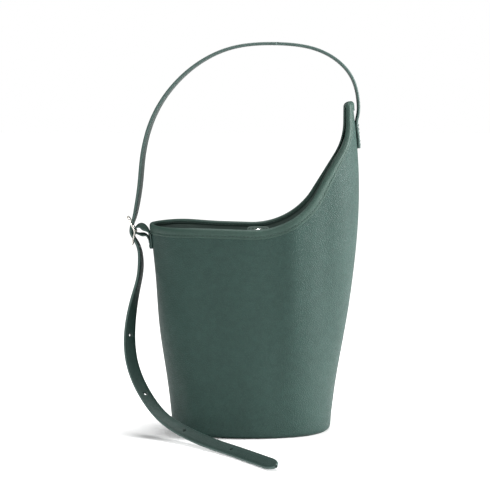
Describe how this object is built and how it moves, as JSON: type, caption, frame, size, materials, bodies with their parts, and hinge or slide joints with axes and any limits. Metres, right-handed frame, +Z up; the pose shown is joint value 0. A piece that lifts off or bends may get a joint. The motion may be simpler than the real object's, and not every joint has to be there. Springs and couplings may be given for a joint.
{
  "type": "bucket bag",
  "caption": "Asymmetric leather bucket bag: low oval mouth rising to a tall peak, and one flat shoulder strap from the peak to a centre-bar buckle on a folded tab.",
  "frame": {"origin": "centre of the oval base, on the surface that the bag stands on", "axes": "+Z up; +X towards the tall peak with the strap's sewn end; -X towards the buckle; -Y front"},
  "size_m": [0.274, 0.3295, 0.4491],
  "materials": {
    "leather_body": "fine pebbled, satin",
    "leather_trim": "smooth satin",
    "leather_strap": "smooth satin with creased borders",
    "leather_patch": "suede side out, matt",
    "lining": "brushed, matt",
    "board": "matt",
    "buckle_metal": "polished nickel",
    "snap_metal": "nickel plated",
    "magnet": "matt grey",
    "thread": "waxed thread"
  },
  "bodies": {
    "bag": {"front_panel": "leather_body", "back_panel": "leather_body", "base_panel": "leather_body", "base_board": "board", "front_lining": "lining", "back_lining": "lining", "base_lining": "lining", "rim_binding": "leather_trim", "peak_backing": "board", "tab_backing": "board", "back_snap_patch": "leather_patch", "front_snap_patch": "leather_patch", "snap_socket": "snap_metal", "snap_magnet": "magnet", "snap_stud": "snap_metal", "socket_washer": "snap_metal", "stud_washer": "snap_metal", "buckle_tab": "leather_trim", "tab_stitching": "thread", "anchor_stitching": "thread", "strap_anchor": "leather_strap", "strap_in_buckle": "leather_strap"},
    "buckle": {"buckle_frame": "buckle_metal"},
    "prong": {"buckle_prong": "buckle_metal"},
    "strap": {"shoulder_strap": "leather_strap"},
    "tail": {"strap_tail": "leather_strap"}
  },
  "joints": [
    {"name": "buckle_tilt", "type": "hinge", "parent": "bag", "child": "buckle", "pos_m": [-0.1353, 0, 0.232], "axis": [0, -1, 0], "range_deg": [0, 6]},
    {"name": "prong_pivot", "type": "hinge", "parent": "buckle", "child": "prong", "pos_m": [-0.1353, 0, 0.232], "axis": [0, -1, 0], "range_deg": [0, 25]},
    {"name": "strap_fall", "type": "hinge", "parent": "bag", "child": "strap", "pos_m": [-0.136, 0, 0.2505], "axis": [0.9201, 0, 0.3917], "range_deg": [-100, 100]},
    {"name": "tail_swivel", "type": "hinge", "parent": "bag", "child": "tail", "pos_m": [-0.131, 0, 0.212], "axis": [0, 0, 1], "range_deg": [-110, 0]}
  ]
}
